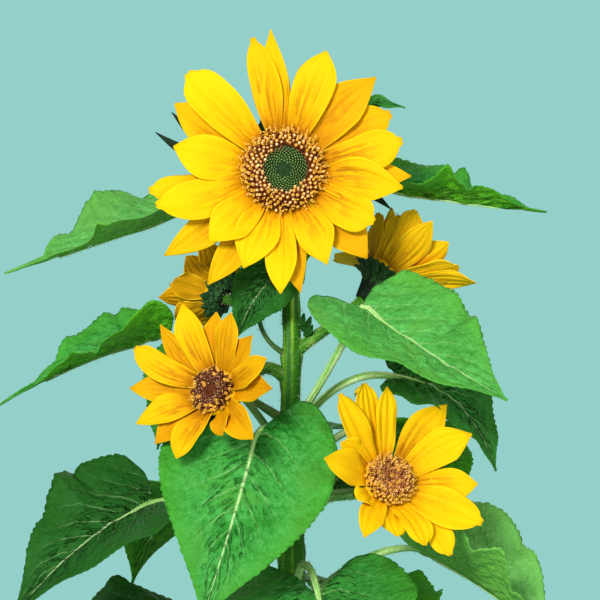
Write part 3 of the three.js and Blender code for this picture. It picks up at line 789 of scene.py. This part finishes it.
# The darkest green buds are painted dark as the shade in the hollow middle of the large head
SHADE_DARK_BUD = small_tissue("shade_dark_green_bud", "#143010", "#234a16", 2, 0.5)
GREEN_BUD = small_tissue("shut_green_bud", "#1f4a12", "#3d6e22", 2, 0.5)
RIPE_BUD = small_tissue("browning_green_bud", "#30301a", "#5c5028", 2, 0.5)
BUD_TIP = small_tissue("pale_green_bud_tip", "#7f9a4e", "#b4c67e", 2, 0.5)


# The stem, its branches and the stalks

def knot(joins, via):
    """The height of a swelling on the stem, and the turn of the stalk or branch it carries."""
    point, via = stem_point_at(joins), Vector(via)
    return point.z, atan2(via.y - point.y, via.x - point.x)


KNOTS = [knot(*row[:2]) for row in LEAVES.values()]
KNOTS += [knot(head["joins"], head["via"]) for head in SIDE_HEADS.values()]


def stem_relief(point, turn):
    """The stem's ribs, its uneven skin, and a swelling under each stalk and branch."""
    swell = sum(
        KNOT_SWELL * bump_at(point.z - height, KNOT_HEIGHT) * max(0, cos(turn - angle)) ** 2
        for height, angle in KNOTS if abs(point.z - height) < 3 * KNOT_HEIGHT
    )
    ribs = RIB_RELIEF * cos(STEM_RIBS * turn + point.z / 60)
    rough = SKIN_ROUGHNESS * noise.noise(around(turn, 1, point.z / 14) * 2)
    return swell + ribs + rough


def branch_relief(point, turn):
    return BRANCH_RIB_RELIEF * cos(BRANCH_RIBS * turn)


def stalk_line(row):
    """A leaf's stalk, and the rib that runs on from it under the blade."""
    via, base, bend, tip, face = map(Vector, row[1:6])
    stalk = quadratic(stem_point_at(row[0]), via, base)
    midrib = quadratic(base, bend, tip)
    shares = [i / STALK_POINTS for i in range(STALK_POINTS + 1)]
    on_rib = [midrib(RIB_SHARE * share) - face.normalized() * RIB_DROP for share in shares[1:]]
    return through([stalk(share) for share in shares] + on_rib)


def stalk_radius(share):
    """A stalk is swollen where it leaves the stem, and tapers into a thin rib."""
    taper = mix(STALK_RADIUS, RIB_TIP_RADIUS, min(1, max(0, share - 0.4) / 0.35))
    return taper + STALK_FOOT_SWELL * bump_at(share, 0.08)


def branch_line(head):
    return cubic(stem_point_at(head["joins"]), Vector(head["via"]), neck_of(head, BRANCH_RUN),
                 neck_of(head, CLEARANCE))


def branch_radius(share):
    return mix(BRANCH_RADIUS, BRANCH_TIP_RADIUS, share) + BRANCH_FOOT_SWELL * bump_at(share, 0.1)


def add_stem():
    add_piece("stem_skin", rolled(STEM, stem_radius, STEM_CUT, stem_relief), [STEM_SKIN], "stem",
              "main_stem")


def add_branches():
    for name, head in SIDE_HEADS.items():
        shape = rolled(branch_line(head), branch_radius, BRANCH_CUT, branch_relief)
        skin = STALK_SKIN if name == "right" else BRANCH_SKIN
        # Painted shade darkens each branch by its head's value
        add_piece(f"{name}_branch_skin", shaded(shape, head["dark"]), [skin], "stem",
                  f"{name}_branch")


# How much painted shade darkens the stalks of some leaves, the others being pale, and how thin one
# of them is
STALK_SHADES = {"leaf_under_head": 0.85, "leaf_left_middle": 0.5, "leaf_behind_left": 0.3}
THIN_STALKS = {"leaf_under_head": 0.62}


def add_stalks():
    whole = new_shape()
    for name, row in LEAVES.items():
        thin = THIN_STALKS.get(name, 1)
        shape = rolled(stalk_line(row), lambda share: thin * stalk_radius(share), STALK_CUT)
        absorb(whole, shaded(shape, STALK_SHADES.get(name, 0)))
    add_piece("leaf_stalks", whole, [STALK_SKIN], "stem")


def hair_places(line, radius_at, draw, count, length):
    """Random places for hairs standing out of a tube."""
    rings = carried(line, count)
    for i in range(count):
        point, side, front = rings[i]
        turn = draw.uniform(0, tau)
        out = side * cos(turn) + front * sin(turn)
        lean = Vector([draw.uniform(-HAIR_LEAN, HAIR_LEAN) for axis in "XYZ"])
        root = point + out * (radius_at(i / count) - CLEARANCE)
        if root.z > HAIRLESS_FOOT:
            yield along_place(root, (out + lean).normalized(), length * draw.uniform(0.6, 1.3), 1)


def add_hairs():
    """Short stiff hairs, which catch the light along every stem and stalk. They are drawn a
    little coarser than they grow, so that they show."""
    draw = random.Random(5)
    places = list(hair_places(STEM, stem_radius, draw, *STEM_HAIRS))
    for head in SIDE_HEADS.values():
        places += hair_places(branch_line(head), branch_radius, draw, *BRANCH_HAIRS)
    for row in LEAVES.values():
        places += hair_places(stalk_line(row), stalk_radius, draw, *STALK_HAIRS)
    add_stamped("stem_hairs", "hair", places, HAIR, "stem")


# The small leaves in the joint of the high branch: each one's root, bend and tip
JOINT_LEAVES = [
    ((8, 1, 419), (7, -3, 425), (8.5, -3, 430)),
    ((9, 1, 418), (11, -1, 424), (12.5, -2, 428)),
    ((8, 0, 417), (12, -2, 418), (13.5, -3, 423)),
]
JOINT_LEAF_HALF = 1.7


def add_joint_leaves():
    def place_at(share, x):
        return 0, JOINT_LEAF_HALF * ray_outline(share) * x, 0.5 * abs(x)

    whole = new_shape()
    for points in JOINT_LEAVES:
        line = quadratic(*map(Vector, points))
        absorb(whole, blade(line, Vector((0, -1, 0.2)), BRACT_CUT, place_at, BRACT_THICK))
    # Painted shade deepens their green
    add_piece("joint_leaves", shaded(whole, 0.75), [LEAF_UPPER, LEAF_UNDER], "stem")


# The leaves

def leaf_outline(share, taper, body):
    """Half a leaf's width at a share of its length, in half widths."""
    if share < WIDEST_AT:
        return 1 - SINUS_NARROWER * (1 - share / WIDEST_AT) ** 2
    towards_end = min(1, (share - WIDEST_AT) / (body - WIDEST_AT))
    narrowing = max(0, cos(pi / 2 * towards_end)) ** taper
    return max(narrowing, LEAF_POINT + LEAF_TAIL * (1 - share))


def line_length(line):
    points = [line(i / 20) for i in range(21)]
    return sum((b - a).length for a, b in zip(points, points[1:]))


def add_leaf(name, row, seed):
    """A blade with toothed margin, quilted between its veins, waved and curled along its edges."""
    base, bend, tip, face = map(Vector, row[2:6])
    wide, left, right, shade = row[6:]
    line = quadratic(base, bend, tip)
    length = line_length(line)
    taper, body = LEAF_ENDS.get(name, (LEAF_TAPER, 1))
    lobes = LEAF_LOBES.get(name, (1, 1))
    turns = LEAF_TURNS.get(name, [])
    grain = Vector((seed * 7.3, seed * 3.1, 0))

    def rough(*place):
        """The leaf's own unevenness, from -1 to 1."""
        return noise.noise(grain + Vector(place))

    def place_at(share, x):
        across = abs(x)
        fold = radians(right if x > 0 else left)
        fading = max(0, 1 - share / LOBES_END) ** 2
        back = LOBE_REACH * length * lobes[x > 0] * fading * sin(LOBE_ROUND * pi * across)
        broad = leaf_outline(share, taper, body)
        tooth = (round(share * LEAF_ROWS) % ROWS_PER_TOOTH) / (ROWS_PER_TOOTH - 1) - 0.5
        bite = TOOTH_DEPTH * (1 + 1.5 * rough(x, share * 23, 5))
        out = wide / 2 * broad * x
        out += copysign(bite * tooth * across ** 12, x) * min(1, broad * 2)
        # Relief across the blade, which dies away where it narrows to its tip
        waves = BROAD_WAVE * across * rough(x * 1.1, share * 3.2, 0.5)
        margin = across ** 2 * sin(share * 17 + seed + (1.3 if x > 0 else 0))
        rows = (share - VEIN_RISE * across ** VEIN_BEND) * VEINS + (0.5 if x > 0 else 0)
        swell = abs(sin(pi * rows)) ** 0.7 - 0.5
        quilt = QUILT * swell * min(1, across * 5) * (1 - across ** 3)
        pucker = PUCKER * rough(x * 7, share * 12, 3) * (1 - across ** 4)
        curl = max(0, rough(3 * x / (across + 0.1), share * 6, 9) - 0.2)
        relief = waves + MARGIN_WAVE * margin + quilt + pucker + MARGIN_CURL * curl * across ** 6
        for side, at, run, rise in turns:
            if x * side > 0:
                relief += rise * across ** 1.5 * bump_at(share - at, run)
        dip = -MIDRIB_DIP * bump_at(x, 0.07) * (1 - share)
        lift = abs(out) * sin(fold) + relief * min(1, broad * 1.6) + dip
        return back, out * cos(fold), lift

    shape = blade(line, face, (LEAF_COLUMNS, LEAF_ROWS), place_at, LEAF_THICK)
    add_piece(f"{name}_blade", shaded(shape, shade), [LEAF_UPPER, LEAF_UNDER], "leaves", name)


# The heads, made in their own frame: +X to the head's right, +Y to its top, +Z out of it

def head_matrix(head):
    out = Vector(head["facing"]).normalized()
    right = UP.cross(out).normalized()
    turn = Matrix((right, out.cross(right), out)).transposed().to_4x4()
    return Matrix.Translation(head["centre"]) @ turn


def ray_outline(share, widest_at=RAY_WIDEST_AT, angle=RAY_ANGLE, point=RAY_POINT,
                foot=RAY_FOOT):
    """Half a ray's width at a share of its length, in half widths."""
    if share < widest_at:
        return mix(foot, 1, sin(pi / 2 * share / widest_at))
    towards_tip = (share - widest_at) / (1 - widest_at)
    return max(point, 1 - towards_tip ** angle)


def spoke(turn, root, tip, arch, cut, place_at, thick):
    """A blade that stands out from the head's axis, from its root to its tip."""
    middle = ((root[0] + tip[0]) / 2, (root[1] + tip[1]) / 2 + arch)
    line = quadratic(*(around(radians(turn), *point) for point in (root, middle, tip)))
    return blade(line, UP, cut, place_at, thick)


def ray_shape(turn, root, tip, width, arch, draw, blunt_share):
    """One ray: pleated along, its halves folded a little, twisted, swayed, and curled or blunt at
    its tip."""
    length = tip[0] - root[0]
    fold = radians(draw.uniform(0, 20))
    twist = radians(draw.uniform(-26, 26))
    sway = draw.uniform(-0.07, 0.07) * length
    curl = draw.uniform(-0.12, 0.14) * length
    pleats = draw.uniform(*PLEATS)
    pleat_phase = draw.random()
    pleat_depth = PLEAT * draw.uniform(0.3, 1)
    widest_at = draw.uniform(0.46, 0.64)
    tip_angle = draw.uniform(1.35, 2)
    phase = draw.uniform(0, tau)
    blunt = draw.random() < blunt_share
    point = BLUNT_POINT if blunt else RAY_POINT
    foot = RAY_FOOT + 0.16 * pleat_phase
    if blunt:
        tip_angle = draw.uniform(*BLUNT_ANGLES)

    def place_at(share, x):
        across = abs(x)
        half = width / 2 * ray_outline(share, widest_at, tip_angle, point, foot)
        out = half * x
        # The pleats and the wavy margin die away where the ray narrows to its tip
        fullness = min(1, 2 * half / width)
        pleat = pleat_depth * (4 * abs((pleats * x + pleat_phase) % 1 - 0.5) - 1)
        hollow = across * half * sin(fold) * (1 - 0.5 * share)
        margin = 1.5 * across ** 3 * sin(9 * share + phase + (2 if x > 0 else 0))
        lift = (pleat + margin) * fullness + hollow + curl * max(0, share - 0.5) ** 1.5
        angle = twist * share ** 1.5
        # A blunt tip has round corners and a small notch between them
        corner = 1.4 * across ** 3 + 0.9 * bump_at(x, 0.35) if blunt else 0
        return (corner * bump_at(1 - share, 0.07),
                out * cos(angle) + sway * sin(pi * share),
                lift * cos(angle) + out * sin(angle))

    return spoke(turn, root, tip, arch, RAY_CUT, place_at, RAY_THICK)


def add_rays(name, head, draw):
    """The rays in two layers, on the ring that carries them."""
    radius = head["radius"]
    ring_top = -DISC_SEAT - CLEARANCE
    ring_bottom = ring_top - RING_THICK
    inside, outside = radius * RING_INSIDE, radius * RING_OUTSIDE
    whole = spun([(inside, ring_bottom), (outside, ring_bottom), (outside, ring_top),
                  (inside, ring_top), (inside, ring_bottom)])
    for i, (turn, reach, width, rise) in enumerate(head["rays"]):
        lower = i % 2
        root = (radius * RAY_ROOT, ring_top - RAY_LAYERS[lower])
        # Painted shade makes the lower layer's rays, and those on the side away from the light,
        # more golden
        away_from_light = cos(radians(turn)) > 0
        shade = head["gold_and_painted_shade"] + LOWER_LAYER_PAINTED_SHADE * lower + AWAY_SIDE_PAINTED_SHADE * away_from_light
        shade += draw.uniform(0, 0.2)
        arch = RAY_ARCH * (reach - radius) + draw.uniform(1, 4)
        shape = ray_shape(turn, root, (reach, rise), width, arch, draw, head["blunt"])
        absorb(whole, shaded(shape, min(1, shade)))
    whole.transform(head_matrix(head))
    add_piece(f"{name}_ray_florets", whole, [PETAL_FRONT, PETAL_BACK], "petals", f"{name}_rays")


def bract_shape(turn, root, tip, width, arch, sway=0):
    """One bract: a narrow keeled point, swayed to one side."""
    def place_at(share, x):
        half = width / 2 * ray_outline(share)
        return 0, half * x + sway * sin(pi * share), 0.25 * half * abs(x)

    return spoke(turn, root, tip, arch, BRACT_CUT, place_at, BRACT_THICK)


def add_cup(name, head, draw):
    """The cup: a bowl on a short neck, under rows of pointed bracts with downy edges."""
    radius, depth = head["radius"], head["depth"]
    cup_top = -DISC_SEAT - CLEARANCE - RING_THICK - CLEARANCE
    rim, waist = radius * CUP_RIM, radius * CUP_WAIST
    waist_height = mix(-depth, cup_top, CUP_WAIST_HEIGHT)
    whole = spun([
        (0, -depth), (NECK_RADIUS, -depth), (NECK_RADIUS + 0.4, -depth + 1),
        (mix(NECK_RADIUS, waist, 0.6), mix(-depth, waist_height, 0.6)), (waist, waist_height),
        (mix(waist, rim, 0.6), mix(waist_height, cup_top, 0.5)), (rim, cup_top - 1.5),
        (rim, cup_top), (0, cup_top),
    ])
    for layer, (out, drop, share) in enumerate(BRACT_LAYERS):
        for i in range(BRACTS):
            turn = 360 * (i + layer / 3 + draw.uniform(-0.15, 0.15)) / BRACTS
            root = (radius * (0.62 - 0.08 * layer), mix(cup_top - drop, -depth, 0.25 * layer))
            tip = (radius * out * draw.uniform(0.9, 1.1), cup_top - drop * 0.3 + 1.5 * layer)
            wide = radius * BRACT_WIDE * share
            absorb(whole, bract_shape(turn, root, tip, wide, BRACT_ARCH))
    height = cup_top - LONG_BRACT_DROP
    for turn, reach in head.get("long_bracts", []):
        absorb(whole, bract_shape(turn, (radius * 0.6, height), (reach, height), LONG_BRACT_WIDE,
                                  LONG_BRACT_ARCH, LONG_BRACT_SWAY))
    whole.transform(head_matrix(head))
    add_piece(f"{name}_involucre", whole, [CUP_SKIN, BRACT_EDGE], "cup", f"{name}_cup")


GOLDEN_TURN = pi * (3 - sqrt(5))
# The way to the middle of the arc of the large head where purple buds ring the green middle
PURPLE_ARC = radians(45)
GREEN_BUDS = 760
BED_SHARES = (0.97, 0.9, 0.8, 0.7, 0.6, 0.5, 0.4, 0.3, 0.2, 0.1, 0)


def disc_height(share):
    """The height of the florets' tips over the head's rim, in disc radii."""
    ring = 0.24 * bump_at(share - 0.74, 0.24)
    return ring + 0.1 * (1 - share ** 2)


def open_from(head, turn):
    """The share of the radius where a disc's open florets start, in the direction of a turn."""
    return head["open"] + head.get("later", 0) * cos(turn)


def spiral(count):
    """Places in a disc of radius 1, evenly filled by the spiral in which florets grow."""
    for i in range(count):
        yield sqrt((i + 0.5) / count), (i * GOLDEN_TURN) % tau


def add_bed(name, head):
    """The disc's bed, which is green in the middle of the large head."""
    radius = head["radius"]
    spread = head["spread"] * radius
    bed = spun([(0, -DISC_SEAT), (spread * 0.8, -DISC_SEAT), (spread, -0.6)]
               + [(spread * share, radius * disc_height(share) - 3.4 * share)
                  for share in BED_SHARES])
    for face in bed.faces:
        middle = face.calc_center_median()
        share = hypot(middle.x, middle.y) / spread
        if name == "main" and share < open_from(head, atan2(middle.y, middle.x)):
            face.material_index = 1
    bed.transform(head_matrix(head))
    add_piece(f"{name}_disc_bed", bed, [DISC_BROWN, DISC_GREEN], "disc", f"{name}_disc")


def add_florets(name, groups):
    """Adds a head's small parts, a piece for each form and material that it has."""
    for (form, material), places in groups.items():
        if places:
            add_stamped(f"{name}_{material.name}", form, places, material, "disc")


def add_disc(name, head, draw):
    """Open florets round the disc, and dark buds inside them, in spirals."""
    radius = head["radius"]
    at_head = head_matrix(head)
    plain = TUBE_DARK if name == "left" else TUBE_BROWN
    kinds = [("tube", plain), ("tube", TUBE_TAN), ("knob", STIGMA), ("fork", STIGMA_GOLD),
             ("knob", STIGMA_PINK), ("bud", PURPLE_BUD)]
    groups = {kind: [] for kind in kinds}
    for share, turn in spiral(head["florets"]):
        past = share - open_from(head, turn)
        if past < 0 and name == "main":
            continue
        away = around(turn)
        outer = max(0, share - 0.7) / 0.3
        stray = Vector((draw.uniform(-0.15, 0.15), draw.uniform(-0.15, 0.15), 0))
        direction = (UP + away * outer * draw.uniform(0.3, 0.9) + stray).normalized()
        foot = away * (share * head["spread"] * radius)
        foot += UP * (radius * disc_height(share) - 4)
        if past < 0.09 and (name != "main" or cos(turn - PURPLE_ARC) > 0.3):
            groups["bud", PURPLE_BUD].append(at_head @ along_place(foot, direction, 4, 1.5))
            continue
        length = draw.uniform(3.4, 4.8)
        tube = TUBE_TAN if draw.random() < head["tan"] + 0.5 * outer else plain
        groups["tube", tube].append(at_head @ along_place(foot, direction, length, 1.3))
        tip = foot + direction * (length + 0.3)
        if draw.random() < outer:
            kind = ("fork", STIGMA_GOLD)
        elif name == "right" and share < 0.6 or name == "left" and draw.random() < 0.7:
            kind = ("knob", STIGMA_PINK)
        else:
            kind = ("knob", STIGMA)
        size = head["tip"] * draw.uniform(0.7, 1.2)
        groups[kind].append(at_head @ along_place(tip, direction, size, size)
                            @ Matrix.Rotation(draw.uniform(0, tau), 4, "Z"))
    add_florets(name, groups)


def add_green_buds(head):
    """The large head's middle: shut buds in spirals, each behind a pale scale. They are drawn
    a little coarser than they grow, so that the spirals show."""
    radius = head["radius"]
    at_head = head_matrix(head)
    kinds = [("bud", SHADE_DARK_BUD), ("bud", GREEN_BUD), ("bud", RIPE_BUD), ("scale", BUD_TIP)]
    groups = {kind: [] for kind in kinds}
    for share, turn in spiral(GREEN_BUDS):
        inside = share / open_from(head, turn)
        if inside > 1:
            continue
        away = around(turn)
        foot = away * (share * head["spread"] * radius)
        foot += UP * (radius * (0.07 + 0.24 * share ** 2) - 1.6)
        inward = (UP - away * 0.4).normalized()
        # The middle bud of the spiral lies a little to the left, and those round it are painted
        # dark as the shade in the hollow middle
        off_middle = (away * share + Vector((0.08, 0.05, 0))).length
        look = SHADE_DARK_BUD if off_middle < 0.13 else RIPE_BUD if inside > 0.86 else GREEN_BUD
        groups["bud", look].append(at_head @ along_place(foot, inward, 2.2, 1.3))
        if inside < 0.3:
            continue
        turned = Matrix.Rotation(turn, 4, "Z") @ Matrix.Diagonal((1.9, 1, 2.9, 1))
        groups["scale", BUD_TIP].append(
            at_head @ Matrix.Translation(foot + away * 0.55 + UP * 0.1) @ turned)
    add_florets("main", groups)


# The camera, the light and the floor

LENS = 300
SENSOR = 36
CAMERA_PLACE = (6 * MM, -3, 438 * MM)
LIT_POINT = Vector((0, 0, 0.42))
# Each light's place and size, in metres, and its power
LIGHTS = {
    "key_light": ((-0.9, -2.5, 1.4), 0.8, 84),
    "fill_light": ((1.9, -1.8, 1.2), 1.6, 22),
    "back_light": ((0.6, 2.2, 1.8), 1.2, 16),
}
FLOOR_RADIUS = 2.4


def add_camera():
    """A long lens on the level, as the photograph was taken: 0.6 mm to a pixel at the stem."""
    data = bpy.data.cameras.new("camera")
    data.lens = LENS
    data.sensor_width = SENSOR
    data.clip_end = 20
    camera = new_object("camera", data)
    camera.location = CAMERA_PLACE
    camera.rotation_euler = (radians(90), 0, 0)
    bpy.context.scene.camera = camera


def add_light(name, place, size, power):
    data = bpy.data.lights.new(name, "AREA")
    data.shape = "DISK"
    data.size = size
    data.energy = power
    light = new_object(name, data)
    light.location = place
    light.rotation_euler = (LIT_POINT - Vector(place)).to_track_quat("-Z", "Y").to_euler()


def add_studio():
    """A plain pale floor, a pale blue-green room, and large soft lights."""
    shape = bmesh.new()
    bmesh.ops.create_circle(shape, cap_ends=True, segments=64, radius=FLOOR_RADIUS)
    floor = new_object("floor", mesh_of(shape, "floor"))
    # Matt paint, which keeps the floor even and free of glare
    paint, add = new_material("pale_floor_paint")
    shader = add("BsdfPrincipled", named={"Base Color": "#a8c4c0", "Roughness": 0.8})
    add("OutputMaterial", shader)
    floor.data.materials.append(paint)
    # The room gives a soft grey light, and looks blue-green where the camera sees it
    world = bpy.data.worlds.new("room")
    world.use_nodes = True
    add = node_adder(world.node_tree)
    seen = add("LightPath").outputs["Is Camera Ray"]
    room = add("MixShader", seen, add("Background", "#e8ecea", 0.42),
               add("Background", "#94d0c9", 1))
    add("OutputWorld", room)
    bpy.context.scene.world = world
    for name, row in LIGHTS.items():
        add_light(name, *row)


add_camera()
add_studio()
add_stem()
add_branches()
add_stalks()
add_hairs()
add_joint_leaves()
for seed, (name, row) in enumerate(LEAVES.items()):
    add_leaf(name, row, seed)
for i, (name, head) in enumerate(HEADS.items()):
    add_rays(name, head, random.Random(11 + i))
    add_cup(name, head, random.Random(31 + i))
    add_bed(name, head)
    add_disc(name, head, random.Random(51 + i))
add_green_buds(HEADS["main"])
bpy.context.scene.view_settings.view_transform = "Standard"
